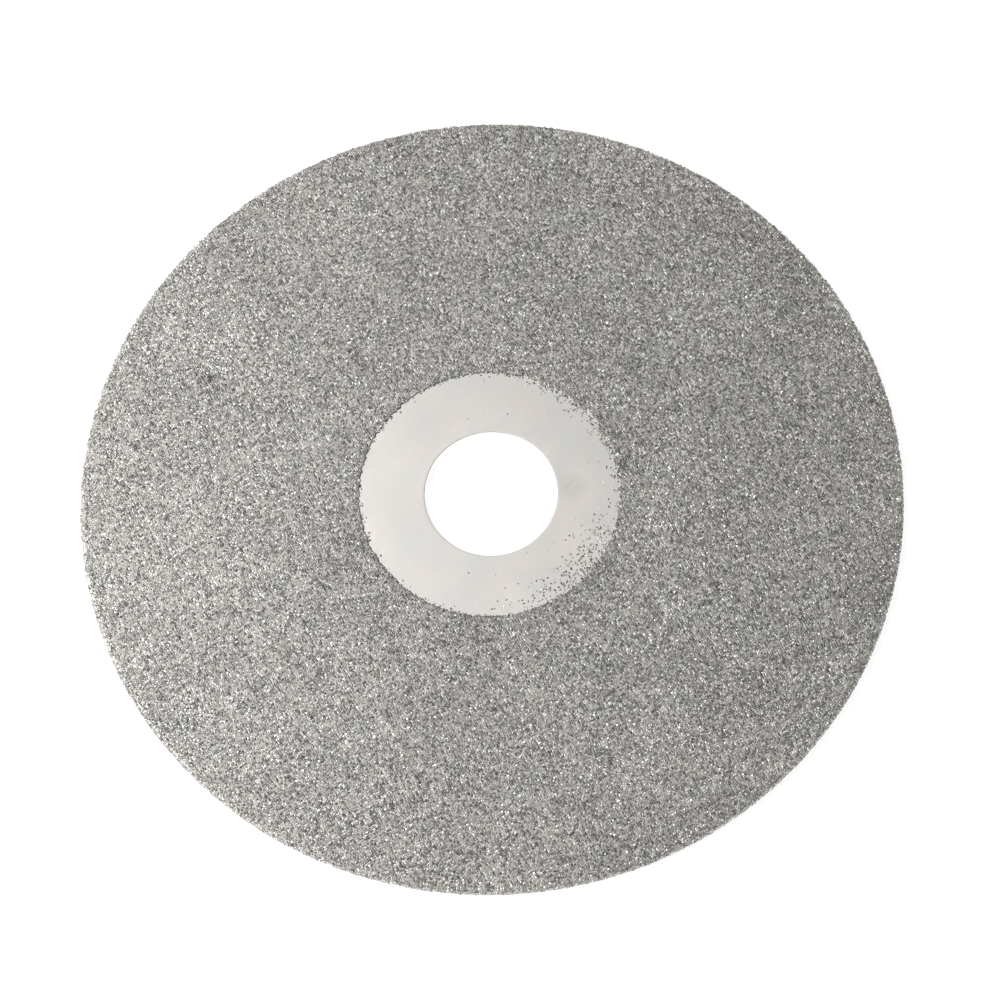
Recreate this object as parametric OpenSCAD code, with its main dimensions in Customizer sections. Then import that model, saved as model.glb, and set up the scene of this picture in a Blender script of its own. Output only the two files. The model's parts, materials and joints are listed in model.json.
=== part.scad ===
// Electroplated diamond grinding wheel: a thin flat disc for lapidary work.
// A stamped steel blank carries everything. Thin nickel plate covers its back, its
// bore and a bare clamping ring on the front. Thicker nickel covers the rest of the
// front face and the rim, and bonds one layer of diamond grit there.
//
// The origin is on the bore's axis, in the plane of the back face. +Z points out of
// the gritted front face. Every part is turned about that axis.

/* [Disc] */
// Outside diameter, over the grit on the rim
outer_d = 100; // [60:1:200]
// Diameter of the arbor bore, after plating
bore_d = 16; // [6:0.5:20]
// Diameter of the bare ring that stays free of bond and grit
ring_d = 31; // [26:0.5:50]

/* [Steel blank] */
// Thickness of the steel sheet
blank_t = 0.9; // [0.6:0.1:3]
// Width of the bevel that deburring leaves on each edge of the blank
edge_bevel = 0.1; // [0.05:0.01:0.2]

/* [Nickel] */
// Thickness of the nickel plate on the back, the bore's wall and the bare ring
plate_t = 0.05; // [0.03:0.01:0.1]
// Height of the nickel bond above the bare ring
bond_t = 0.12; // [0.06:0.01:0.2]
// Width of the slope where the bond ends at the bare ring
bond_slope = 0.15; // [0.05:0.01:0.5]

/* [Grit] */
// Height that the crystals stand out of the bond
grit_proud = 0.1; // [0.04:0.01:0.2]

/* [Hidden] */
$fn = 256;

steel = [0.55, 0.56, 0.58];
nickel = [0.84, 0.82, 0.80];
bond_nickel = [0.60, 0.59, 0.57];
grit = [0.64, 0.63, 0.61];
edge_grit = [0.70, 0.69, 0.67];

// Radii, from the rim inwards: each layer lies inside the one before it.
outer_r = outer_d / 2;
bond_r = outer_r - grit_proud;
plate_r = bond_r - bond_t;
blank_r = plate_r - plate_t;
ring_r = ring_d / 2;
bore_r = bore_d / 2;
blank_bore_r = bore_r + plate_t;

// Heights, from the back face up.
blank_bottom = plate_t;
blank_top = blank_bottom + blank_t;
plate_top = blank_top + plate_t;
bond_top = plate_top + bond_t;
grit_top = bond_top + grit_proud;

// A 45 degree bevel under a layer of thickness t comes out wider by t * (2 - sqrt(2)),
// so that the layer is equally thick over the bevel and over the flats.
function bevel_over(t) = edge_bevel + t * (2 - sqrt(2));
plate_bevel = bevel_over(plate_t);
bond_bevel = bevel_over(plate_t + bond_t);
grit_bevel = bevel_over(plate_t + bond_t + grit_proud);

// The blank's section at the bore and at the rim, each from the back face to the
// front face, as [radius, height]. The nickel follows the same points.
blank_bore_edge = [
    [blank_bore_r + edge_bevel, blank_bottom],
    [blank_bore_r, blank_bottom + edge_bevel],
    [blank_bore_r, blank_top - edge_bevel],
    [blank_bore_r + edge_bevel, blank_top]
];
blank_back_edge = [
    [blank_r - edge_bevel, blank_bottom],
    [blank_r, blank_bottom + edge_bevel]
];
blank_front_edge = [
    [blank_r, blank_top - edge_bevel],
    [blank_r - edge_bevel, blank_top]
];

function reversed(points) = [for (i = [len(points) - 1:-1:0]) points[i]];

// A closed section turned into a solid ring.
module turned(section) {
    rotate_extrude()
        polygon(section);
}

// The stamped sheet: it carries the load and is wholly covered by nickel.
module steel_blank() {
    color(steel)
        turned(concat(reversed(blank_bore_edge), blank_back_edge, blank_front_edge));
}

// The nickel plate: from the bare ring on the front, through the bore, and over the
// whole back to the rim's back bevel.
module nickel_plate() {
    outside = [
        [ring_r, plate_top],
        [bore_r + plate_bevel, plate_top],
        [bore_r, plate_top - plate_bevel],
        [bore_r, plate_bevel],
        [bore_r + plate_bevel, 0],
        [plate_r - plate_bevel, 0],
        [plate_r, plate_bevel]
    ];
    color(nickel)
        turned(concat(outside, reversed(blank_back_edge), blank_bore_edge, [[ring_r, blank_top]]));
}

// The nickel bond: from the bare ring's edge across the front face, over the rim's
// bevel and down the rim, to where the plate's back bevel begins.
module bond_coat() {
    outside = [
        [plate_r, plate_bevel],
        [bond_r, plate_bevel],
        [bond_r, bond_top - bond_bevel],
        [bond_r - bond_bevel, bond_top],
        [ring_r + bond_slope, bond_top],
        [ring_r, plate_top]
    ];
    color(bond_nickel)
        turned(concat(outside, [[ring_r, blank_top]], reversed(blank_front_edge), [blank_back_edge[1]]));
}

// The grit on the face: the layer that the exposed halves of the crystals fill.
module face_grit() {
    r_in = ring_r + bond_slope;
    color(grit)
        rotate_extrude()
            translate([r_in, bond_top])
                square([bond_r - bond_bevel - r_in, grit_proud]);
}

// The grit on the rim: the same layer, carried over the bevel and down the rim.
module rim_grit() {
    color(edge_grit)
        turned([
            [bond_r - bond_bevel, bond_top],
            [bond_r, bond_top - bond_bevel],
            [bond_r, plate_bevel],
            [outer_r, plate_bevel],
            [outer_r, grit_top - grit_bevel],
            [outer_r - grit_bevel, grit_top],
            [bond_r - bond_bevel, grit_top]
        ]);
}

steel_blank();
nickel_plate();
bond_coat();
face_grit();
rim_grit();
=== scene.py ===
"""Looks of an electroplated diamond grinding wheel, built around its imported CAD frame.

The wheel is one thin plated disc. Nickel plate covers the steel blank's back, its
bore and a bare clamping ring. A thicker nickel bond covers the rest of the face and
the rim, and one layer of diamond crystals stands half out of it. The crystals are
real facets, not a bump pattern. All lengths are in metres, and every place on the
wheel comes from the frame.
"""

import json
import logging
import math
from dataclasses import dataclass
from enum import Enum
from functools import cache

import bpy
import numpy as np
from mathutils import Matrix, Vector


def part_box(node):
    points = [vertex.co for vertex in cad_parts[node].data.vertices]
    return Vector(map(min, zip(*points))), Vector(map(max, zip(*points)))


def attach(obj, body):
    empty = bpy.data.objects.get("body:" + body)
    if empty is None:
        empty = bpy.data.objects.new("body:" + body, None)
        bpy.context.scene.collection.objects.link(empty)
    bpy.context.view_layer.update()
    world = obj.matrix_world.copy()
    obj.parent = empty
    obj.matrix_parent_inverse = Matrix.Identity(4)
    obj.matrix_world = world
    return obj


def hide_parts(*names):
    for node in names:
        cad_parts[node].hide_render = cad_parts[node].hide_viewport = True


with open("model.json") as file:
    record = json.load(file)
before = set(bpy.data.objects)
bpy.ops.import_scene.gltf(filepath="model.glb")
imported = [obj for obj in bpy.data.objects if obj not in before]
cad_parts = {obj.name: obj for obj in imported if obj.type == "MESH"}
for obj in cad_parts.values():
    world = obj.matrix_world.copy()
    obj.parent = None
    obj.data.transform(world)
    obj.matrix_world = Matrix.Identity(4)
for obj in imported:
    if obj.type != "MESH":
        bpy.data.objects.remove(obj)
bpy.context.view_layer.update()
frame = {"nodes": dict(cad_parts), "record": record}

log = logging.getLogger("wheel")
MM = 0.001
TURN = 2 * math.pi
BODY = "root"
Section = list[tuple[float, float]]
Socket = bpy.types.NodeSocket
Colour = tuple[float, float, float, float]
Input = Socket | float | Colour


class Facing(Enum):
    """How a mesh's faces catch the light."""

    FACETED = False
    ROUNDED = True


# ---------------- sizes


@dataclass(frozen=True)
class WheelSizes:
    """The wheel's driving radii and heights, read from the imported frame.

    Attributes:
        skirt_z: Height at which the bond and the rim's crystals end, above the back.
        shoulder: Width of the bond's bevel at the rim, along each side.
    """

    outer_r: float
    bond_r: float
    plate_r: float
    ring_r: float
    bore_r: float
    plate_top: float
    bond_top: float
    grit_top: float
    skirt_z: float
    shoulder: float

    @classmethod
    def from_frame(cls) -> "WheelSizes":
        """Reads the sizes from the CAD nodes' boxes, the bond's mesh and the bore mount.

        Returns:
            The sizes, in metres.
        """
        bond = np.array([v.co for v in frame["nodes"]["bond_coat"].data.vertices])
        bond_r, bond_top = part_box("bond_coat")[1].y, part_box("bond_coat")[1].z
        flat_top = bond[bond[:, 2] > bond_top - 0.001 * MM]
        mounts = {m["name"]: m for m in frame["record"]["mounts"]}
        return cls(
            outer_r=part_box("rim_grit")[1].y,
            bond_r=bond_r,
            plate_r=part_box("nickel_plate")[1].y,
            ring_r=float(np.hypot(bond[:, 0], bond[:, 1]).min()),
            bore_r=mounts["arbor_bore"]["dims"]["r_mm"] * MM,
            plate_top=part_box("nickel_plate")[1].z,
            bond_top=bond_top,
            grit_top=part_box("face_grit")[1].z,
            skirt_z=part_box("bond_coat")[0].z,
            shoulder=bond_r - float(np.hypot(flat_top[:, 0], flat_top[:, 1]).max()),
        )

    def rim_section(self, depth: float, inner_r: float, cut: float = 0.0) -> Section:
        """The line at one depth under the bond's surface, over the face and the rim.

        At a 45 degree corner the parallel line's corner moves by depth * (sqrt(2) - 1).

        Args:
            depth: Distance under the bond's surface.
            inner_r: Radius at which the line starts, on the face.
            cut: How much wider than that the bevel is, along each side.

        Returns:
            Four corners as (radius, height).
        """
        corner = self.shoulder + cut + depth * (math.sqrt(2) - 1)
        return [
            (inner_r, self.bond_top - depth),
            (self.bond_r - corner, self.bond_top - depth),
            (self.bond_r - depth, self.bond_top - corner),
            (self.bond_r - depth, self.skirt_z),
        ]


# ---------------- surfaces


@dataclass(frozen=True)
class WaveField:
    """A smooth random field: plane waves with random directions, lengths and phases.

    Attributes:
        wavelength: Middle wavelength, in metres.
        seed: Seed of the random draws.
        waves: How many plane waves are added.
    """

    wavelength: float
    seed: int
    waves: int = 20

    def at(self, points: np.ndarray) -> np.ndarray:
        """Field value at each point: sqrt(2 / waves) * sum of cos(k . p + phase).

        Args:
            points: Points, with x, y, z along the last axis.

        Returns:
            Values with mean 0 and variance about 1.
        """
        rng = np.random.default_rng(self.seed)
        heading = rng.normal(size=(self.waves, 3))
        heading /= np.linalg.norm(heading, axis=1)[:, None]
        number = TURN / (self.wavelength * rng.uniform(0.7, 1.4, self.waves))
        phase = rng.uniform(0, TURN, self.waves)
        total = np.zeros(points.shape[:-1])
        for wave in range(self.waves):
            total += np.cos(points @ (heading[wave] * number[wave]) + phase[wave])
        return total * math.sqrt(2 / self.waves)


def unit(vectors: np.ndarray) -> np.ndarray:
    """Vectors along the last axis, each brought to length 1."""
    return vectors / np.linalg.norm(vectors, axis=-1, keepdims=True)


def new_piece(
    name: str,
    points: np.ndarray,
    faces: np.ndarray,
    finish: "Finish",
    facing: Facing,
    tint: np.ndarray | None = None,
) -> bpy.types.Object:
    """Puts whole arrays of points and faces into a new mesh object.

    Args:
        name: The piece's name.
        points: Points, with x, y, z along the last axis.
        faces: Point numbers, one row of 3 or 4 a face, counter-clockwise from outside.
        finish: The finish that its material is made from.
        facing: Whether its faces are shaded flat or rounded.
        tint: One value per face, from 0 to 1, stored as the attribute "tint".

    Returns:
        The object, at the origin and linked to the scene.
    """
    mesh = bpy.data.meshes.new(name)
    corners = faces.shape[1]
    mesh.vertices.add(points.size // 3)
    mesh.vertices.foreach_set("co", points.astype(np.float32).ravel())
    mesh.loops.add(faces.size)
    mesh.loops.foreach_set("vertex_index", faces.astype(np.int32).ravel())
    mesh.polygons.add(len(faces))
    mesh.polygons.foreach_set("loop_start", np.arange(0, faces.size, corners, dtype=np.int32))
    mesh.update(calc_edges=True)
    mesh.polygons.foreach_set("use_smooth", np.full(len(faces), facing.value))
    if tint is not None:
        layer = mesh.attributes.new("tint", "FLOAT", "FACE")
        layer.data.foreach_set("value", tint.astype(np.float32))
    mesh.materials.append(finish.material())
    piece = bpy.data.objects.new(name, mesh)
    bpy.context.scene.collection.objects.link(piece)
    return piece


def stations(path: Section, step: float) -> np.ndarray:
    """Points along a section's straight stretches, no further apart than a step.

    Args:
        path: Corners as (radius, height).
        step: Greatest spacing.

    Returns:
        Rows of (radius, height), from the first corner up to but not including the last.
    """
    corners = np.array(path)
    rows = []
    for start, end in zip(corners[:-1], corners[1:]):
        count = max(1, math.ceil(np.linalg.norm(end - start) / step))
        share = np.arange(count)[:, None] / count
        rows.append(start + (end - start) * share)
    return np.concatenate(rows)


def rounded(path: Section, radius: float, arc_steps: int = 4) -> Section:
    """A section with its inner corners rounded by a quadratic curve.

    Each corner is left and reached a radius away, and the curve between is
    (1-t)^2 * before + 2t(1-t) * corner + t^2 * after.

    Args:
        path: Corners as (radius, height).
        radius: Distance from a corner at which its rounding starts.
        arc_steps: Steps in each rounding.

    Returns:
        The corners of the rounded section, with both ends kept.
    """
    corners = [np.array(corner) for corner in path]
    out = [tuple(corners[0])]
    for before, corner, after in zip(corners, corners[1:], corners[2:]):
        reach_in = min(radius, 0.45 * np.linalg.norm(corner - before))
        reach_out = min(radius, 0.45 * np.linalg.norm(after - corner))
        start = corner + unit(before - corner) * reach_in
        end = corner + unit(after - corner) * reach_out
        for t in np.linspace(0, 1, arc_steps + 1):
            out.append(tuple((1 - t) ** 2 * start + 2 * t * (1 - t) * corner + t * t * end))
    out.append(tuple(corners[-1]))
    return out


def turned(section: np.ndarray, angles: np.ndarray) -> np.ndarray:
    """A section carried around Z: x = r cos(a), y = r sin(a), z = z.

    Args:
        section: Rows of (radius, height), the same for every angle, or one set per angle.
        angles: Angles about Z, in radians.

    Returns:
        Points, as an array of angles by stations by 3.
    """
    r, z = np.broadcast_to(section, (len(angles), *section.shape[-2:])).transpose(2, 0, 1)
    return np.stack([r * np.cos(angles)[:, None], r * np.sin(angles)[:, None], z], -1)


def ring_faces(rows: int, columns: int) -> np.ndarray:
    """Quads of a grid that closes on itself both ways.

    Args:
        rows: Grid points around the axis.
        columns: Grid points around the section.

    Returns:
        Point numbers, four a face.
    """
    here = np.arange(rows * columns).reshape(rows, columns)
    beside = np.roll(here, -1, 1)
    quads = np.stack([here, beside, np.roll(beside, -1, 0), np.roll(here, -1, 0)], -1)
    return quads.reshape(-1, 4)


# ---------------- materials


class NodeSketch:
    """A short way to add and join the nodes of a material or a node group."""

    def __init__(self, tree: bpy.types.NodeTree) -> None:
        """Starts on an empty node tree."""
        self.tree = tree
        tree.nodes.clear()

    def add(self, kind: str, inputs: dict | None = None, **settings: object) -> bpy.types.Node:
        """Adds one node.

        Args:
            kind: The node type's name, without its ShaderNode prefix.
            inputs: Values, or output sockets to join, by input name or number.
            settings: Properties set on the node.

        Returns:
            The new node.
        """
        prefix = "" if kind.startswith("NodeGroup") else "ShaderNode"
        node = self.tree.nodes.new(prefix + kind)
        for name, value in settings.items():
            setattr(node, name, value)
        self.feed(node, inputs or {})
        return node

    def feed(self, node: bpy.types.Node, inputs: dict) -> None:
        """Sets a node's inputs, by name or number, to values or joins them to sockets."""
        for name, value in inputs.items():
            if isinstance(value, Socket):
                self.tree.links.new(value, node.inputs[name])
            else:
                node.inputs[name].default_value = value

    def maths(self, operation: str, first: Input, second: Input = 0.0, clamp: bool = False) -> Socket:
        """The result of one Math node on two values or sockets."""
        node = self.add("Math", {0: first, 1: second}, operation=operation, use_clamp=clamp)
        return node.outputs[0]

    def spread(self, value: Input, low: float, high: float, start: float, end: float) -> Socket:
        """A value carried in a straight line from low..high to start..end, held at the ends."""
        inputs = {"Value": value, 1: low, 2: high, 3: start, 4: end}
        return self.add("MapRange", inputs, clamp=True).outputs[0]

    def blend(self, factor: Input, first: Input, second: Input, way: str = "MIX") -> Socket:
        """A colour made from two colours or colour sockets, mixed or multiplied."""
        node = self.add("Mix", {0: factor, 6: first, 7: second}, data_type="RGBA", blend_type=way)
        return node.outputs[2]


def colour(red: float, green: float, blue: float) -> Colour:
    """An opaque linear colour."""
    return (red, green, blue, 1.0)


class SharedEffects:
    """Node groups that several finishes use. Each is built once."""

    @staticmethod
    def _open(
        name: str, inputs: dict[str, float], outputs: list[str]
    ) -> tuple[NodeSketch, dict[str, Socket], bpy.types.Node]:
        """Starts a group with its sockets.

        Args:
            name: The group's name.
            inputs: Default value of each number that goes in, by name.
            outputs: Names of the numbers that come out.

        Returns:
            A sketch of the group's tree, its input sockets by name, and its output node.
        """
        tree = bpy.data.node_groups.new(name, "ShaderNodeTree")
        for socket, value in inputs.items():
            made = tree.interface.new_socket(socket, in_out="INPUT", socket_type="NodeSocketFloat")
            made.default_value = value
        for socket in outputs:
            tree.interface.new_socket(socket, in_out="OUTPUT", socket_type="NodeSocketFloat")
        sketch = NodeSketch(tree)
        entry = sketch.add("NodeGroupInput")
        leave = sketch.add("NodeGroupOutput")
        return sketch, {socket: entry.outputs[socket] for socket in inputs}, leave

    @classmethod
    @cache
    def clouding(cls) -> bpy.types.NodeTree:
        """Soft patches and fine speckle, on the wheel's own coordinates.

        Returns:
            A group with inputs Patch Size and Speckle Size, in metres, and outputs
            Patches and Speckle, both from 0 to 1 about 0.5.
        """
        defaults = {"Patch Size": 8 * MM, "Speckle Size": 0.3 * MM}
        sketch, given, leave = cls._open("plating_clouds", defaults, ["Patches", "Speckle"])
        place = sketch.add("TexCoord").outputs["Object"]
        for output, size, detail in (("Patches", "Patch Size", 3.0), ("Speckle", "Speckle Size", 1.0)):
            scale = sketch.maths("DIVIDE", 1.0, given[size])
            noise = sketch.add("TexNoise", {"Vector": place, "Scale": scale, "Detail": detail})
            sketch.feed(leave, {output: noise.outputs[0]})
        return sketch.tree

    @classmethod
    @cache
    def hairlines(cls) -> bpy.types.NodeTree:
        """Sparse fine scratches along two headings that cross at a narrow angle.

        Each set is a noise drawn out long along one heading, of which only the narrow
        band around its middle value is kept.

        Returns:
            A group with inputs Spacing, in metres, and Sharpness, and output Mask,
            from 0 on the plain surface to 1 in a scratch.
        """
        defaults = {"Spacing": 2.5 * MM, "Sharpness": 60.0}
        sketch, given, leave = cls._open("hairline_scratches", defaults, ["Mask"])
        place = sketch.add("TexCoord").outputs["Object"]
        scale = sketch.maths("DIVIDE", 1.0, given["Spacing"])
        masks = []
        for heading, stretch in ((0.5, 14.0), (0.85, 10.0)):
            axes = {0: place, "Rotation": (0.0, 0.0, heading), "Scale": (stretch, 1.0, 1.0)}
            laid = sketch.add("Mapping", axes, vector_type="TEXTURE").outputs[0]
            noise = sketch.add("TexNoise", {"Vector": laid, "Scale": scale, "Detail": 2.0})
            off_middle = sketch.maths("ABSOLUTE", sketch.maths("SUBTRACT", noise.outputs[0], 0.5))
            band = sketch.maths("MULTIPLY", off_middle, given["Sharpness"])
            masks.append(sketch.maths("SUBTRACT", 1.0, band, clamp=True))
        sketch.feed(leave, {"Mask": sketch.maths("MAXIMUM", *masks)})
        return sketch.tree


class Finish:
    """A surface finish. Its material is made on first use and then shared."""

    name = "finish"
    _made: dict[str, bpy.types.Material] = {}

    def material(self) -> bpy.types.Material:
        """The finish's material, built the first time that it is asked for."""
        if self.name not in Finish._made:
            made = bpy.data.materials.new(self.name)
            made.use_nodes = True
            sketch = NodeSketch(made.node_tree)
            shader = sketch.add("BsdfPrincipled", self.paint(sketch))
            sketch.add("OutputMaterial", {"Surface": shader.outputs[0]})
            Finish._made[self.name] = made
        return Finish._made[self.name]

    def paint(self, sketch: NodeSketch) -> dict[str, Input]:
        """Makes the finish's pattern; each finish has its own.

        Args:
            sketch: The material's nodes.

        Returns:
            What goes into the shader, by the input's name.
        """
        raise NotImplementedError

    def clouds(self, sketch: NodeSketch, patch: float, speckle: float = 0.3 * MM) -> list[Socket]:
        """The Patches and Speckle of the plating clouds, at sizes given in metres."""
        sizes = {"Patch Size": patch, "Speckle Size": speckle}
        return list(sketch.add("Group", sizes, node_tree=SharedEffects.clouding()).outputs)

    def scratches(self, sketch: NodeSketch, inputs: dict | None = None) -> Socket:
        """The Mask of the hairline scratches, with any inputs that differ from the group's."""
        return sketch.add("Group", inputs, node_tree=SharedEffects.hairlines()).outputs[0]

    def relief(self, sketch: NodeSketch, height: Socket, depth: float) -> Socket:
        """The normal of a fine relief, from its height between 0 and 1 and its depth."""
        inputs = {"Height": height, "Strength": 1.0, "Distance": depth}
        return sketch.add("Bump", inputs).outputs[0]

    def drifting_hue(self, sketch: NodeSketch, base: Socket, size: float) -> Socket:
        """Lets a colour drift between faintly rosy and faintly green, in soft patches.

        Args:
            sketch: The material's nodes.
            base: The colour.
            size: Size of the patches, in metres.

        Returns:
            The colour, multiplied by the drift.
        """
        share = sketch.spread(self.clouds(sketch, size)[0], 0.38, 0.62, 0.0, 1.0)
        drift = sketch.blend(share, colour(0.98, 1.0, 0.985), colour(1.0, 0.975, 0.965))
        return sketch.blend(1.0, base, drift, "MULTIPLY")


@dataclass(frozen=True)
class SatinNickel(Finish):
    """Satin nickel plate over a fine stamping grain, with faint clouds and hairlines."""

    name: str = "satin_nickel"
    light: Colour = colour(0.715, 0.69, 0.664)
    dark: Colour = colour(0.638, 0.622, 0.607)
    patch: float = 7 * MM
    grain: float = 0.22 * MM
    grain_share: float = 0.3
    grain_depth: float = 0.0012 * MM
    hue_patch: float = 3.5 * MM
    least_rough: float = 0.34
    most_rough: float = 0.46
    scratch_gloss: float = 0.08
    scratch_depth: float = 0.6
    scuffed: Colour = colour(0.53, 0.54, 0.51)
    scuff_place: tuple[float, float, float] = (9.8 * MM, -0.2 * MM, 0.0)
    scuff_reach: float = 2.3 * MM
    scuff_wear: float = 0.32
    scuff_line_wear: float = 0.3

    def scuff(self, sketch: NodeSketch, base: Socket) -> Socket:
        """Rubs a faint greyer patch with a few fine scratches into the colour beside the bore.

        Args:
            sketch: The material's nodes.
            base: The colour.

        Returns:
            The colour, with the patch in it.
        """
        off: Input = sketch.add("TexCoord").outputs["Object"]
        for operation, by in (("SUBTRACT", self.scuff_place), ("MULTIPLY", (1.0, 1.0, 0.0))):
            off = sketch.add("VectorMath", {0: off, 1: by}, operation=operation).outputs[0]
        reach = sketch.add("VectorMath", {0: off}, operation="LENGTH").outputs["Value"]
        patch = sketch.spread(reach, 0.3 * self.scuff_reach, self.scuff_reach, 1.0, 0.0)
        lines = self.scratches(sketch, {"Spacing": 0.7 * MM, "Sharpness": 16.0})
        lines = sketch.maths("MULTIPLY", lines, self.scuff_line_wear)
        worn = sketch.maths("ADD", lines, self.scuff_wear)
        return sketch.blend(sketch.maths("MULTIPLY", patch, worn), base, self.scuffed)

    def paint(self, sketch: NodeSketch) -> dict[str, Input]:
        """Clouds shift the colour, speckle and hairlines shift the roughness and relief."""
        patches, speckle = self.clouds(sketch, self.patch, self.grain)
        lines = self.scratches(sketch)
        broad = sketch.maths("MULTIPLY", patches, 1 - self.grain_share)
        tone = sketch.maths("ADD", broad, sketch.maths("MULTIPLY", speckle, self.grain_share))
        base = sketch.blend(sketch.spread(tone, 0.3, 0.7, 0.0, 1.0), self.dark, self.light)
        rough = sketch.spread(tone, 0.3, 0.7, self.most_rough, self.least_rough)
        rough = sketch.maths("SUBTRACT", rough, sketch.maths("MULTIPLY", lines, self.scratch_gloss))
        cut = sketch.maths("MULTIPLY", lines, self.scratch_depth)
        height = sketch.maths("SUBTRACT", speckle, cut)
        return {
            "Base Color": self.drifting_hue(sketch, self.scuff(sketch, base), self.hue_patch),
            "Roughness": rough,
            "Normal": self.relief(sketch, height, self.grain_depth),
            "Metallic": 1.0,
        }


@dataclass(frozen=True)
class BondNickel(Finish):
    """Matte nickel bond, built up in small nodules between the crystals."""

    name: str = "bond_nickel"
    light: Colour = colour(0.52, 0.50, 0.465)
    dark: Colour = colour(0.30, 0.285, 0.26)
    patch: float = 12 * MM
    nodule: float = 0.12 * MM
    nodule_depth: float = 0.012 * MM
    least_rough: float = 0.44
    most_rough: float = 0.56

    def paint(self, sketch: NodeSketch) -> dict[str, Input]:
        """Speckle raises and lightens the nodules, and clouds vary their roughness."""
        patches, speckle = self.clouds(sketch, self.patch, self.nodule)
        share = sketch.spread(speckle, 0.35, 0.65, 0.0, 1.0)
        return {
            "Base Color": sketch.blend(share, self.dark, self.light),
            "Roughness": sketch.spread(patches, 0.3, 0.7, self.least_rough, self.most_rough),
            "Normal": self.relief(sketch, speckle, self.nodule_depth),
            "Metallic": 1.0,
        }


@dataclass(frozen=True)
class DiamondGrit(Finish):
    """Diamond crystals, each with its own tone, from smoky grey to nearly clear."""

    name: str = "diamond_grit"
    smoky: Colour = colour(0.015, 0.0145, 0.0135)
    middle: Colour = colour(0.130, 0.126, 0.116)
    pale: Colour = colour(0.50, 0.485, 0.452)
    patch: float = 14 * MM
    patch_shift: float = 0.14
    veil: float = 0.09 * MM
    veil_shift: float = 0.08
    hue_patch: float = 3.0 * MM
    least_rough: float = 0.26
    most_rough: float = 0.5
    ior: float = 2.4

    def paint(self, sketch: NodeSketch) -> dict[str, Input]:
        """Each crystal's tint picks its tone and gloss, shifted by broad, soft clouds."""
        tint = sketch.add("Attribute", attribute_name="tint").outputs["Fac"]
        patches, speckle = self.clouds(sketch, self.patch, self.veil)
        shift = sketch.spread(patches, 0.2, 0.8, -self.patch_shift, self.patch_shift)
        veil = sketch.spread(speckle, 0.2, 0.8, -self.veil_shift, self.veil_shift)
        tone = sketch.maths("ADD", sketch.maths("ADD", tint, shift), veil, clamp=True)
        low = sketch.blend(sketch.spread(tone, 0.0, 0.5, 0.0, 1.0), self.smoky, self.middle)
        base = sketch.blend(sketch.spread(tone, 0.5, 1.0, 0.0, 1.0), low, self.pale)
        return {
            "Base Color": self.drifting_hue(sketch, base, self.hue_patch),
            "Roughness": sketch.spread(tone, 0.0, 1.0, self.most_rough, self.least_rough),
            "IOR": self.ior,
        }


@dataclass(frozen=True)
class RolledSteel(Finish):
    """Cold-rolled sheet steel, with its rolling grain along one direction."""

    name: str = "rolled_steel"
    light: Colour = colour(0.42, 0.43, 0.45)
    dark: Colour = colour(0.30, 0.31, 0.32)
    patch: float = 8 * MM
    plain_rough: float = 0.42
    grain_rough: float = 0.3

    def paint(self, sketch: NodeSketch) -> dict[str, Input]:
        """Clouds vary the colour, and the rolling grain varies the roughness."""
        patches = self.clouds(sketch, self.patch)[0]
        lines = self.scratches(sketch)
        return {
            "Base Color": sketch.blend(patches, self.dark, self.light),
            "Roughness": sketch.spread(lines, 0.0, 1.0, self.plain_rough, self.grain_rough),
            "Metallic": 1.0,
        }


@dataclass(frozen=True)
class StudioWhite(Finish):
    """The matt white sheet of the light table that the wheel lies on."""

    name: str = "studio_white"
    seen_glow: float = 0.82
    cast_glow: float = 1.7

    def paint(self, sketch: NodeSketch) -> dict[str, Input]:
        """Plain and matt, with an even glow from below, held back where the eye meets it."""
        seen = sketch.add("LightPath").outputs["Is Camera Ray"]
        return {
            "Emission Strength": sketch.spread(seen, 0.0, 1.0, self.cast_glow, self.seen_glow),
            "Emission Color": colour(1.0, 1.0, 1.0),
            "Base Color": colour(0.35, 0.35, 0.35),
            "Roughness": 1.0,
            "Specular IOR Level": 0.0,
        }


# ---------------- the plated disc


@dataclass(frozen=True)
class MaskEdge:
    """Where the plating mask left the edge of the bare ring.

    The mask sat a little off the bore's centre, fitted well on one side and let
    plating creep under it on the other, where the edge is ragged.

    Attributes:
        slack: How much larger than the bare ring the mask's edge is.
        offset: How far off the bore's centre the mask sat, towards offset_side.
        creep: Twice how far the plating crept in, at the middle of creep_side.
        creep_width: Angle over which the creep dies away, in radians.
        fine_wave: Height of the edge's waves on the good side.
    """

    sizes: WheelSizes
    slack: float = 0.33 * MM
    offset: float = 0.16 * MM
    offset_side: float = math.radians(145)
    creep: float = 0.35 * MM
    creep_side: float = math.radians(42)
    creep_width: float = math.radians(24)
    fine_wave: float = 0.035 * MM
    seed: int = 11

    def raggedness(self, angles: np.ndarray) -> np.ndarray:
        """How ragged the edge is at each angle: a bell about the creep side, from 0 to 1."""
        away = (angles - self.creep_side + math.pi) % TURN - math.pi
        return np.exp(-0.5 * (away / self.creep_width) ** 2)

    def radius(self, angles: np.ndarray) -> np.ndarray:
        """The edge's radius at each angle.

        It is the ring's radius plus the mask's slack, plus the mask's offset as a
        cosine, less the creep on the ragged side, plus waves that are stronger there.

        Args:
            angles: Angles about Z, in radians.

        Returns:
            Radii, in metres.
        """
        ring = self.sizes.ring_r
        ragged = self.raggedness(angles)
        rim = np.stack([ring * np.cos(angles), ring * np.sin(angles), np.zeros_like(angles)], -1)
        broad = WaveField(2.2 * MM, self.seed).at(rim)
        fine = WaveField(0.5 * MM, self.seed + 1).at(rim)
        shifted = ring + self.slack + self.offset * np.cos(angles - self.offset_side)
        waves = (0.6 + 2.2 * ragged) * broad + (1.0 + 2.0 * ragged) * fine
        return shifted - 0.5 * self.creep * ragged + self.fine_wave * waves


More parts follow.
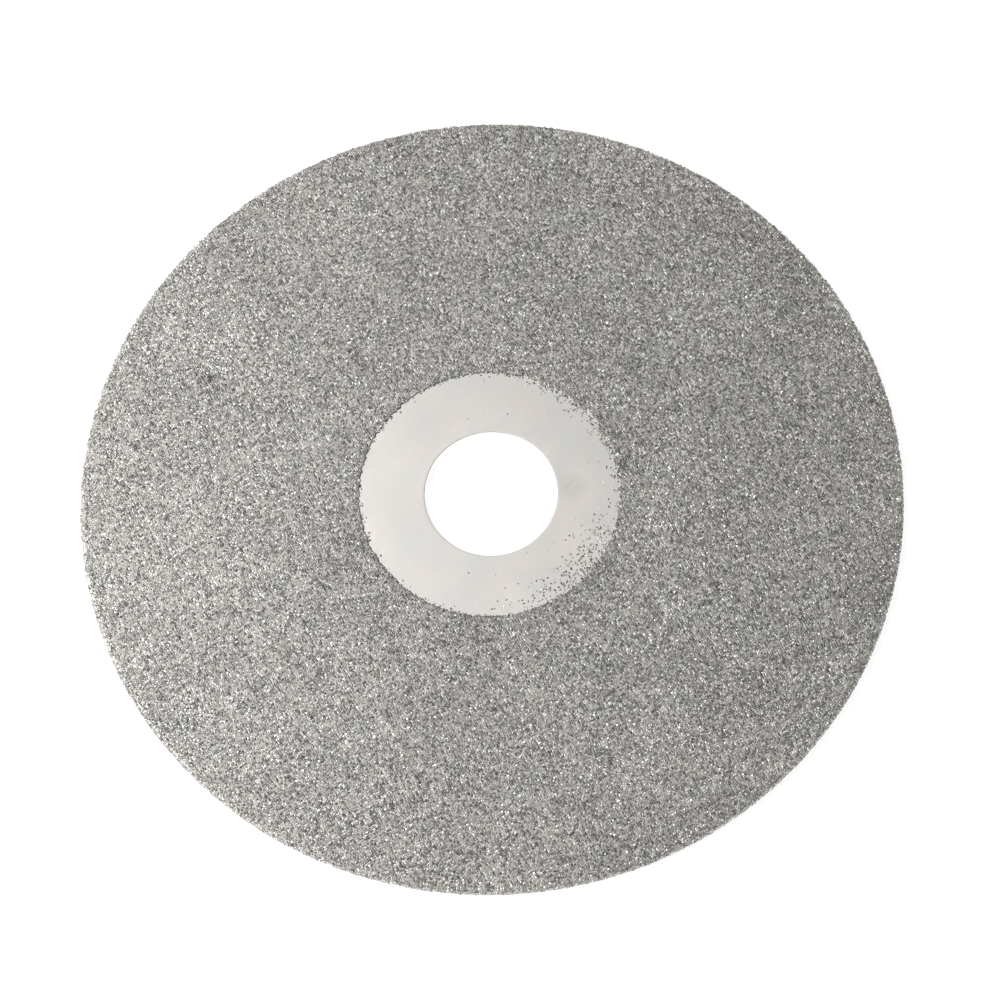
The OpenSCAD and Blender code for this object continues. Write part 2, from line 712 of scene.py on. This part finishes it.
@dataclass(frozen=True)
class PlatedDisc:
    """The steel blank and the nickel plate on it: bare ring, bore, back and hidden skin.

    The plate is one section turned around the axis, closed on itself under the bond,
    with a gentle relief over the bare ring and a rolled burr at the bore's edge.
    """

    sizes: WheelSizes
    finish: Finish = SatinNickel()
    steel: Finish = RolledSteel()
    around: int = 900
    edge_round: float = 0.05 * MM
    bore_bevel: float = 0.06 * MM
    ring_step: float = 0.3 * MM
    back_step: float = 2.2 * MM
    under_bond: float = 0.9 * MM
    dish: float = 0.0016 * MM
    burr: float = 0.018 * MM
    burr_reach: float = 0.1 * MM

    def section(self) -> np.ndarray:
        """The plate's outline as (radius, height), from the bore up, out, down and back."""
        s = self.sizes
        bevel_r = s.bore_r + self.bore_bevel
        under = s.plate_top - 0.004 * MM
        start = (bevel_r + 0.5 * MM, 0.0)
        ring_end = (s.ring_r + self.under_bond, s.plate_top)
        rim_top = (s.plate_r - 0.01 * MM, s.plate_top - s.skirt_z)
        bore = [start, (bevel_r, 0.0), (s.bore_r, self.bore_bevel)]
        ring = [(s.bore_r, s.plate_top - self.bore_bevel), (bevel_r, s.plate_top), ring_end]
        hidden = [ring_end, (ring_end[0] + 0.2 * MM, under), (s.plate_r - s.skirt_z, under), rim_top]
        back_edge = [rim_top, (s.plate_r, s.skirt_z), (s.plate_r - s.skirt_z, 0.0), start]
        return np.concatenate(
            [
                stations(rounded(bore + ring, self.edge_round), self.ring_step),
                stations(hidden, 20 * MM),
                stations(rounded(back_edge, self.edge_round), self.back_step),
            ]
        )

    def points(self) -> np.ndarray:
        """The plate's surface, as angles by stations by 3.

        The turned section is lowered by up to the dish depth in broad shallow waves on
        the bare ring, and the bore's upper edge is raised and drawn in by a few short
        burrs, each a bell along the edge.
        """
        s = self.sizes
        angles = np.arange(self.around) * TURN / self.around
        section = self.section()
        points = turned(section, angles)
        r, z = section.T
        on_ring = np.clip((r - s.bore_r - 2 * self.bore_bevel) / MM, 0, 1)
        on_ring *= np.clip((s.ring_r - r) / MM + 1, 0, 1) * (z > 0.9 * s.plate_top)
        swell = WaveField(5 * MM, 21).at(points) + 0.35 * WaveField(1.4 * MM, 22).at(points)
        points[..., 2] -= on_ring * self.dish * (1.6 + np.clip(swell, -1.6, 1.6))
        lip = np.exp(-(((r - s.bore_r) / self.burr_reach) ** 2)) * (z > 0.8 * s.plate_top)
        rough_edge = np.clip(WaveField(0.9 * MM, 23).at(points[:, :1])[:, 0] - 0.9, 0, None)
        burr = self.burr * rough_edge[:, None] * lip
        points[..., :2] -= unit(points[..., :2]) * burr[..., None]
        return points

    def build(self) -> list[bpy.types.Object]:
        """Makes the plate and dresses the blank inside it.

        Returns:
            The new piece.
        """
        points = self.points()
        faces = ring_faces(*points.shape[:2])
        plate = new_piece("plated_skin", points, faces, self.finish, Facing.ROUNDED)
        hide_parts("nickel_plate")
        blank = frame["nodes"]["steel_blank"]
        blank.data.materials.clear()
        blank.data.materials.append(self.steel.material())
        return [plate]


@dataclass(frozen=True)
class BondCoat:
    """The nickel bond: an L-shaped layer over the face and down the rim.

    Attributes:
        bury: How far its surface lies under the CAD's, so that the crystals cover it.
        bevel_cut: How much wider than the CAD's its bevel at the rim is.
        overlap: How far it runs into the plate at the rim.
        swell: Height of its shallow waves.
    """

    sizes: WheelSizes
    edge: MaskEdge
    finish: Finish = BondNickel()
    around: int = 1500
    face_step: float = 1.0 * MM
    slope: float = 0.12 * MM
    fade: float = 3 * MM
    edge_round: float = 0.06 * MM
    bury: float = 0.022 * MM
    bevel_cut: float = 0.09 * MM
    overlap: float = 0.04 * MM
    swell: float = 0.003 * MM

    def build(self) -> list[bpy.types.Object]:
        """Makes the bond as one closed ring, whose inner edge follows the mask's edge.

        The section's stations are (radius, height). Near the ring their radius is
        shifted by how far the mask's edge is from a plain circle at that angle, and
        the shift fades out over the fade width.

        Returns:
            The new piece.
        """
        s = self.sizes
        top, under = s.bond_top - self.bury, s.plate_top - self.bury
        start = (s.ring_r, under)
        skirt_r = s.plate_r - self.overlap
        skirt = (skirt_r, s.skirt_z)
        rim = s.rim_section(self.bury, s.ring_r + self.slope, self.bevel_cut)
        outline = rounded([start, *rim, skirt], self.edge_round)
        inside = [skirt, (skirt_r, s.plate_top - 0.2 * MM), (s.plate_r - 0.3 * MM, under), start]
        section = np.concatenate([stations(outline, self.face_step), stations(inside, 30 * MM)])
        angles = np.arange(self.around) * TURN / self.around
        fade = np.clip(1 - (section[:, 0] - s.ring_r) / self.fade, 0, 1)
        laid = np.broadcast_to(section, (self.around, *section.shape)).copy()
        laid[..., 0] += (self.edge.radius(angles) - s.ring_r)[:, None] * fade
        points = turned(laid, angles)
        on_face = (section[:, 1] > top - 0.001 * MM) & (section[:, 0] < s.bond_r - 0.5 * MM)
        points[..., 2] += on_face * self.swell * np.clip(WaveField(3 * MM, 31).at(points), -1.5, 1.5)
        faces = ring_faces(self.around, len(section))
        piece = new_piece("nickel_bond", points, faces, self.finish, Facing.ROUNDED)
        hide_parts("bond_coat")
        return [piece]


# ---------------- the crystals


@dataclass(frozen=True)
class CrystalHabit:
    """How the crystals of a coat are shaped.

    Attributes:
        pitch: Spacing of the crystals.
        sunk: Depth of their feet under the bond's surface.
        proud: Most that one stands out of the bond.
        steepest: Tangent of the steepest side.
        least_top: Least width of a top, as a share of its cell.
        most_top: Greatest width of a top.
        spin: Most that a top is turned, in radians.
        tilt: Spread of the tops' slopes.
        chip: Spread of a top corner's height about its plane.
        evenness: Shape of the spread of heights; a higher number gathers them.
        bare_share: Share of the cells whose crystal fell out.
    """

    pitch: float = 0.268 * MM
    sunk: float = 0.03 * MM
    proud: float = 0.1 * MM
    steepest: float = math.tan(math.radians(65))
    least_top: float = 0.4
    most_top: float = 0.72
    spin: float = 0.3
    tilt: float = 0.3
    chip: float = 0.006 * MM
    evenness: float = 1.6
    bare_share: float = 0.05

    def lattice_slots(self) -> np.ndarray:
        """The ten triangles of one crystal: four foot corners 0-3 and four top corners 4-7."""
        sides = [[(k, (k + 1) % 4, 4 + k), ((k + 1) % 4, 4 + (k + 1) % 4, 4 + k)] for k in range(4)]
        return np.array([triangle for pair in sides for triangle in pair] + [(4, 5, 6), (4, 6, 7)])

    def slopes(self, crystal: np.ndarray, out: np.ndarray) -> tuple[np.ndarray, np.ndarray]:
        """How the triangles of each crystal lie.

        Args:
            crystal: Eight corners of each crystal.
            out: Outward direction of each crystal.

        Returns:
            Each triangle's area seen from outside, and the tangent of its slope.
        """
        slots = self.lattice_slots()
        a, b, c = (crystal[:, slots[:, k]] for k in range(3))
        normal = np.cross(b - a, c - a)
        seen = (normal * out).sum(-1)
        side = np.linalg.norm(normal - seen[..., None] * out, axis=-1)
        return seen, side / np.maximum(seen, 1e-4 * side + 1e-15)

    def grow(
        self,
        corners: np.ndarray,
        normals: np.ndarray,
        keep: np.ndarray,
        rng: np.random.Generator,
        reach: np.ndarray | float = 1.0,
    ) -> tuple[np.ndarray, np.ndarray, np.ndarray]:
        """Grows one crystal on each kept cell of a lattice.

        A crystal's foot is its cell. Its top is the cell's outline, turned by up to
        the spin, shrunk towards its middle, and raised by height + tilt . offset +
        chip. The top is drawn in where it would pass the foot, and the crystal is
        lowered in proportion where a side would be steeper than the limit.

        Args:
            corners: Foot points of the lattice, rows by columns by 3.
            normals: Outward directions there.
            keep: True for each cell that holds a crystal.
            rng: The random draws.
            reach: Factor on how proud the crystals stand, for all or for each cell.

        Returns:
            Points, triangles, and one tint per triangle.
        """
        rows, columns = np.nonzero(keep)
        wide = corners.shape[1]
        number = rows * wide + columns
        feet = np.stack([number, number + 1, number + wide + 1, number + wide], 1)
        flat = corners.reshape(-1, 3)
        foot = flat[feet]
        out = unit(normals.reshape(-1, 3)[feet].mean(1))[:, None]
        count = len(feet)
        middle = foot.mean(1, keepdims=True)
        arm = foot - middle
        arm -= (arm * out).sum(-1, keepdims=True) * out
        angle = rng.uniform(-self.spin, self.spin, (count, 1, 1))
        arm = arm * np.cos(angle) + np.cross(out, arm) * np.sin(angle)
        shrink = rng.uniform(self.least_top, self.most_top, (count, 1, 1))
        arm *= shrink * rng.uniform(0.85, 1.15, (count, 4, 1))
        slant = rng.normal(0, self.tilt, (count, 1, 3))
        proud = self.proud * np.broadcast_to(reach, keep.shape)[rows, columns][:, None]
        height = self.sunk + proud * rng.beta(self.evenness, self.evenness, (count, 1))
        bare = rng.random((count, 1)) < self.bare_share
        height = np.where(bare, 0.1 * self.sunk, height)
        chip = rng.normal(0, self.chip, (count, 4))
        least_seen = 0.03 * self.pitch**2
        for _ in range(4):
            flat_top = np.concatenate([foot, middle + arm], 1)
            crossed = (self.slopes(flat_top, out)[0] < least_seen).any(1)
            arm = np.where(crossed[:, None, None], 0.75 * arm, arm)
        rise = np.maximum(height + (slant * arm).sum(-1) + chip, 0.1 * self.sunk)
        rise *= np.minimum(1, (self.sunk + proud) / rise.max(1, keepdims=True))
        crystal = np.concatenate([foot, middle + arm + out * rise[..., None]], 1)
        steepness = self.slopes(crystal, out)[1].max(1, keepdims=True)
        lower = np.minimum(1, self.steepest / steepness)
        crystal[:, 4:] -= out * (rise * (1 - lower))[..., None]
        used, feet = np.unique(feet, return_inverse=True)
        tops = len(used) + np.arange(count * 4).reshape(count, 4)
        ids = np.concatenate([feet.reshape(count, 4), tops], 1)
        points = np.concatenate([flat[used], crystal[:, 4:].reshape(-1, 3)])
        slots = self.lattice_slots()
        return points, ids[:, slots].reshape(-1, 3), np.repeat(rng.random(count), len(slots))


@dataclass(frozen=True)
class FaceGrit:
    """The crystals on the face, on a warped square lattice cut into sectors."""

    sizes: WheelSizes
    edge: MaskEdge
    finish: Finish = DiamondGrit()
    habit: CrystalHabit = CrystalHabit()
    sectors: int = 7
    rim_band: float = 0.9 * MM
    lattice_turn: float = math.radians(27)
    seed: int = 41

    def lattice(self, rng: np.random.Generator) -> np.ndarray:
        """The foot points: a square lattice, turned, warped by smooth waves, and shaken.

        Returns:
            Points, rows by columns by 3.
        """
        pitch = self.habit.pitch
        half = math.ceil(self.sizes.outer_r / pitch * 1.45)
        line = np.arange(-half, half + 1) * pitch
        x, y = np.meshgrid(line, line)
        flat = np.stack([x, y, np.zeros_like(x)], -1)
        cosine, sine = math.cos(self.lattice_turn), math.sin(self.lattice_turn)
        flat = flat @ np.array([[cosine, sine, 0], [-sine, cosine, 0], [0, 0, 1]])
        for axis in (0, 1):
            warp = 0.22 * WaveField(8 * pitch, self.seed + axis).at(flat)
            warp += 0.6 * WaveField(30 * pitch, self.seed + 2 + axis).at(flat)
            flat[..., axis] += pitch * warp
        flat[..., :2] += rng.uniform(-0.33, 0.33, (*x.shape, 2)) * pitch
        flat[..., 2] = self.sizes.bond_top - self.habit.sunk
        return flat

    def edge_dimming(self, points: np.ndarray) -> np.ndarray:
        """How light the crystals are: darker towards the mask's edge, rising to 1 as two exponentials.
        """
        angle = np.arctan2(points[:, 1], points[:, 0])
        away = np.maximum(np.hypot(points[:, 0], points[:, 1]) - self.edge.radius(angle), 0)
        return 1 - 0.24 * np.exp(-away / (0.5 * MM)) - 0.13 * np.exp(-away / (4 * MM))

    def build(self) -> list[bpy.types.Object]:
        """Grows the crystals between the mask's edge and the rim band, sector by sector.

        Returns:
            The new pieces.
        """
        rng = np.random.default_rng(self.seed)
        corners = self.lattice(rng)
        normals = np.zeros_like(corners)
        normals[..., 2] = 1
        a, b, c, d = corners[:-1, :-1], corners[:-1, 1:], corners[1:, 1:], corners[1:, :-1]
        middle = (a + b + c + d) / 4
        across, along = c - a, d - b
        area = (across[..., 0] * along[..., 1] - across[..., 1] * along[..., 0]) / 2
        radius = np.hypot(middle[..., 0], middle[..., 1])
        angle = np.arctan2(middle[..., 1], middle[..., 0])
        loose = self.habit.pitch * (0.3 + 1.3 * self.edge.raggedness(angle))
        inner = self.edge.radius(angle) + loose * rng.random(radius.shape)
        keep = (radius > inner) & (radius < self.sizes.outer_r - self.rim_band)
        keep &= area > 0.25 * self.habit.pitch**2
        share = ((angle / TURN) % 1) * self.sectors
        pieces = []
        for sector in range(self.sectors):
            here = keep & (share.astype(int) == sector)
            points, faces, tint = self.habit.grow(corners, normals, here, rng)
            # Crystals are made darker the nearer they lie to the mask's edge.
            tint *= self.edge_dimming(points[faces].mean(1))
            name = f"face_crystals_{sector + 1}"
            piece = new_piece(name, points, faces, self.finish, Facing.FACETED, tint)
            pieces.append(piece)
        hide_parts("face_grit")
        return pieces


@dataclass(frozen=True)
class RimGrit:
    """The crystals over the rim's bevel and down its side.

    Attributes:
        rim_band: Width of the face that they take in.
        corner_reach: Factor on how proud they stand on the bevel.
        uprightness: How much their outward directions are turned up on the bevel.
        darkest: Least tint of a crystal.
        hang: Depth below the bond's end down to which they hang.
        shake: Most that a lattice point is shaken, as a share of the pitch.
        wander: Height of the waves that carry the rows up and down the rim.
        look_ahead: Distance on each side over which the section's slope is taken.
    """

    sizes: WheelSizes
    finish: Finish = DiamondGrit()
    habit: CrystalHabit = CrystalHabit(
        pitch=0.27 * MM,
        steepest=math.tan(math.radians(81)),
        least_top=0.3,
        most_top=0.6,
        tilt=0.5,
        chip=0.01 * MM,
        evenness=0.7,
    )
    rim_band: float = 1.0 * MM
    corner_reach: float = 1.9
    uprightness: float = 1.8
    darkest: float = 0.33
    hang: float = 0.1 * MM
    shake: float = 0.3
    wander: float = 0.16 * MM
    look_ahead: float = 0.03 * MM
    seed: int = 51

    def build(self) -> list[bpy.types.Object]:
        """Grows the crystals on a lattice of angle by distance along the rim's section.

        The section runs from the face, over the bevel and down the side. Each lattice
        point is shaken along both, and its outward direction is square to the section,
        but more upright on the bevel. The lowest crystals hang unevenly below the bond.

        Returns:
            The new piece.
        """
        s, habit = self.sizes, self.habit
        rng = np.random.default_rng(self.seed)
        path = s.rim_section(habit.sunk, s.outer_r - self.rim_band)
        path.append((path[-1][0], s.skirt_z - self.hang))
        path = rounded(path, 0.08 * MM)
        fine = stations(path + [path[-1]], 0.02 * MM)
        length = np.concatenate([[0], np.cumsum(np.linalg.norm(np.diff(fine, axis=0), axis=1))])
        rows = round(length[-1] / habit.pitch) + 1
        columns = round(TURN * s.bond_r / habit.pitch)
        along = np.linspace(0, length[-1], rows)[:, None] + np.zeros((1, columns))
        angles = np.arange(columns) * TURN / columns + np.zeros((rows, 1))
        round_rim = np.stack([s.bond_r * np.cos(angles), s.bond_r * np.sin(angles), along], -1)
        drift = WaveField(4 * habit.pitch, self.seed).at(round_rim)
        along += self.wander * np.sin(math.pi * along / length[-1]) * drift
        along[1:-1] += rng.uniform(-self.shake, self.shake, (rows - 2, columns)) * habit.pitch
        along[-1] -= rng.uniform(0, 1.7 * self.hang, columns)
        angles += rng.uniform(-self.shake, self.shake, (rows, columns)) * habit.pitch / s.bond_r
        ends = np.stack([along, along + self.look_ahead, along - self.look_ahead])
        radius, r_ahead, r_behind = np.interp(ends, length, fine[:, 0])
        height, z_ahead, z_behind = np.interp(ends, length, fine[:, 1])
        rise, run = z_ahead - z_behind, r_ahead - r_behind
        cosine, sine = np.cos(angles), np.sin(angles)
        corners = np.stack([radius * cosine, radius * sine, height], -1)
        normals = unit(np.stack([-rise * cosine, -rise * sine, run], -1))
        corners = np.concatenate([corners, corners[:, :1]], 1)[:, ::-1]
        normals = np.concatenate([normals, normals[:, :1]], 1)[:, ::-1]
        keep = np.ones((rows - 1, columns), bool)
        on_corner = 4 * normals[..., 2:] * (1 - normals[..., 2:])
        reach = 1 + (self.corner_reach - 1) * on_corner[:-1, :-1, 0]
        normals = unit(normals + self.uprightness * on_corner * [0, 0, 1])
        points, faces, tint = habit.grow(corners, normals, keep, rng, reach)
        out_r = np.hypot(points[:, 0], points[:, 1])
        points[:, :2] *= np.minimum(1, s.outer_r / out_r)[:, None]
        points[:, 2] = np.minimum(points[:, 2], s.grit_top)
        tint = self.darkest + (1 - self.darkest) * tint
        piece = new_piece("rim_crystals", points, faces, self.finish, Facing.FACETED, tint)
        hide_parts("rim_grit")
        return [piece]


@dataclass(frozen=True)
class StrayGrains:
    """Single crystals that were plated fast on the bare ring, most on one side."""

    sizes: WheelSizes
    edge: MaskEdge
    finish: Finish = DiamondGrit()
    cluster: int = 320
    lone: int = 4
    along_edge: int = 230
    on_creep: int = 170
    cluster_side: float = math.radians(-46)
    cluster_width: float = math.radians(18)
    grain_r: float = 0.15 * MM
    lean: float = 0.45
    seed: int = 61

    def places(self, rng: np.random.Generator) -> np.ndarray:
        """Angles and radii of the grains.

        The cluster's angles follow a bell, and its distance in from the edge a gamma
        spread. Lone grains lie anywhere. The rest line the edge, thickly where the
        plating crept under the mask, with distances that fall off exponentially.

        Returns:
            Rows of x and y, in metres.
        """
        angles = np.concatenate(
            [
                rng.normal(self.cluster_side, self.cluster_width, self.cluster),
                rng.uniform(0, TURN, self.lone),
                rng.uniform(0, TURN, self.along_edge),
                rng.normal(self.edge.creep_side, self.edge.creep_width, self.on_creep),
            ]
        )
        inward = np.concatenate(
            [
                rng.gamma(2.0, 0.75 * MM, self.cluster),
                rng.uniform(0.3, 6.0, self.lone) * MM,
                rng.exponential(0.15 * MM, self.along_edge),
                rng.exponential(0.4 * MM, self.on_creep),
            ]
        )
        radius = np.maximum(self.edge.radius(angles) - inward, self.sizes.bore_r + 0.8 * MM)
        return np.stack([radius * np.cos(angles), radius * np.sin(angles)], 1)

    def build(self) -> list[bpy.types.Object]:
        """Makes each grain as an uneven octahedron, leant and turned at random, half sunk.

        Returns:
            The new piece.
        """
        rng = np.random.default_rng(self.seed)
        place = self.places(rng)
        count = len(place)
        tips = np.array([(1, 0, 0), (0, 1, 0), (-1, 0, 0), (0, -1, 0), (0, 0, 1), (0, 0, -1)], float)
        upper = [(k, (k + 1) % 4, 4) for k in range(4)]
        sides = np.array(upper + [(b, a, 5) for a, b, _ in upper])
        size = self.grain_r * rng.uniform(0.65, 1.25, (count, 1, 1))
        body = tips * size * rng.uniform(0.75, 1.15, (count, 6, 1))
        turn, lean = rng.uniform(0, TURN, count), rng.normal(0, self.lean, count)
        cos_t, sin_t, cos_l, sin_l = np.cos(turn), np.sin(turn), np.cos(lean), np.sin(lean)
        rock = np.array(
            [
                [cos_t, -sin_t * cos_l, sin_t * sin_l],
                [sin_t, cos_t * cos_l, -cos_t * sin_l],
                [np.zeros(count), sin_l, cos_l],
            ]
        )
        body = np.einsum("ijn,nkj->nki", rock, body)
        body[..., :2] += place[:, None]
        body[..., 2] += self.sizes.plate_top
        faces = (sides + 6 * np.arange(count)[:, None, None]).reshape(-1, 3)
        tint = np.repeat(np.clip(rng.normal(0.6, 0.25, count), 0, 1), len(sides))
        piece = new_piece("stray_grains", body, faces, self.finish, Facing.FACETED, tint)
        return [piece]


# ---------------- the studio


@dataclass(frozen=True)
class Softbox:
    """A square softbox that is turned to the wheel.

    Attributes:
        name: The light's name.
        place: Its middle, in metres.
        side: Its width and height, in metres.
        power: Watts.
    """

    name: str
    place: tuple[float, float, float]
    side: float
    power: float

    def hang(self) -> None:
        """Puts the light in the scene."""
        light = bpy.data.lights.new(self.name, "AREA")
        light.shape = "RECTANGLE"
        light.size = light.size_y = self.side
        light.energy = self.power
        holder = bpy.data.objects.new(self.name, light)
        holder.location = self.place
        holder.rotation_mode = "QUATERNION"
        holder.rotation_quaternion = (-Vector(self.place)).to_track_quat("-Z", "Y")
        bpy.context.scene.collection.objects.link(holder)


@dataclass(frozen=True)
class Studio:
    """A white sheet, soft lights and the camera.

    Attributes:
        distance: From the camera to the middle of the bare ring's plane.
        elevation: Height of the camera over that plane, as an angle.
        roll, nod, swing: Turns of the camera about its own axes.
        lens: Focal length, in millimetres.
    """

    sizes: WheelSizes
    softboxes: tuple[Softbox, ...] = (
        Softbox("left_softbox", (-0.212, 0.0, 0.18), 0.2, 1.05),
        Softbox("top_softbox", (-0.34, 0.30, 0.80), 0.7, 1.97),
    )
    distance: float = 0.4599
    elevation: float = math.radians(68.84)
    roll: float = math.radians(4.845)
    nod: float = math.radians(0.117)
    swing: float = math.radians(0.137)
    lens: float = 136.4
    half_sheet: float = 6.0
    sheet_gap: float = 0.02 * MM
    horizon_glow: float = 0.12
    zenith_glow: float = 0.42
    seen_glow: float = 0.95

    def floor(self) -> None:
        """Lays the sheet under the wheel."""
        half, z = self.half_sheet, -self.sheet_gap
        corners = np.array([(-half, -half, z), (half, -half, z), (half, half, z), (-half, half, z)])
        face = np.array([[0, 1, 2, 3]])
        sheet = new_piece("studio_sheet", corners, face, StudioWhite(), Facing.FACETED)

    def camera(self) -> None:
        """Sets the camera: back along its elevation, then rolled, nodded and swung."""
        aim = Vector((0, 0, self.sizes.plate_top))
        back = Vector((0, -math.cos(self.elevation), math.sin(self.elevation)))
        data = bpy.data.cameras.new("camera")
        data.lens = self.lens
        data.sensor_width = 36
        data.clip_start, data.clip_end = 0.01, 30
        holder = bpy.data.objects.new("camera", data)
        bpy.context.scene.collection.objects.link(holder)
        right, up = Vector((1, 0, 0)), back.cross(Vector((1, 0, 0)))
        level = Matrix((right, up, back))
        turn = Matrix.Rotation(self.roll, 3, "Z") @ Matrix.Rotation(self.nod, 3, "X")
        turn = turn @ Matrix.Rotation(self.swing, 3, "Y") @ level
        place = Matrix.Translation(aim + back * self.distance)
        holder.matrix_world = place @ turn.transposed().to_4x4()
        bpy.context.scene.camera = holder

    def air(self) -> bpy.types.World:
        """The surroundings: bright overhead, dimmer towards the horizon, white to the eye.

        Returns:
            The world.
        """
        world = bpy.data.worlds.new("studio_air")
        world.use_nodes = True
        sketch = NodeSketch(world.node_tree)
        ray = sketch.add("TexCoord").outputs["Generated"]
        height = sketch.add("SeparateXYZ", {0: ray}).outputs[2]
        glow = sketch.spread(height, 0.0, 1.0, self.horizon_glow, self.zenith_glow)
        seen = sketch.add("LightPath").outputs["Is Camera Ray"]
        strength = sketch.add("Mix", {0: seen, 2: glow, 3: self.seen_glow}, data_type="FLOAT")
        inputs = {"Strength": strength.outputs[0], "Color": colour(1, 1, 1)}
        shade = sketch.add("Background", inputs)
        sketch.add("OutputWorld", {"Surface": shade.outputs[0]})
        return world

    def build(self) -> None:
        """Sets up the sheet, the lights, the surroundings and the camera."""
        self.floor()
        self.camera()
        for softbox in self.softboxes:
            softbox.hang()
        bpy.context.scene.world = self.air()
        bpy.context.scene.view_settings.view_transform = "Standard"


# ---------------- assembly


def report_pieces(pieces: list[bpy.types.Object]) -> None:
    """Puts each piece on the wheel's body and logs its face count."""
    for piece in pieces:
        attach(piece, BODY)
        log.info("%s: %d faces", piece.name, len(piece.data.polygons))


def main() -> None:
    """Builds the wheel layer by layer, then the studio around it."""
    logging.basicConfig(level=logging.INFO, format="%(name)s: %(message)s")
    sizes = WheelSizes.from_frame()
    log.info("sizes: %s", sizes)
    edge = MaskEdge(sizes)
    for layer in (
        PlatedDisc(sizes),
        BondCoat(sizes, edge),
        FaceGrit(sizes, edge),
        RimGrit(sizes),
        StrayGrains(sizes, edge),
    ):
        report_pieces(layer.build())
    Studio(sizes).build()
    bpy.context.view_layer.update()


if __name__ == "__main__":
    main()
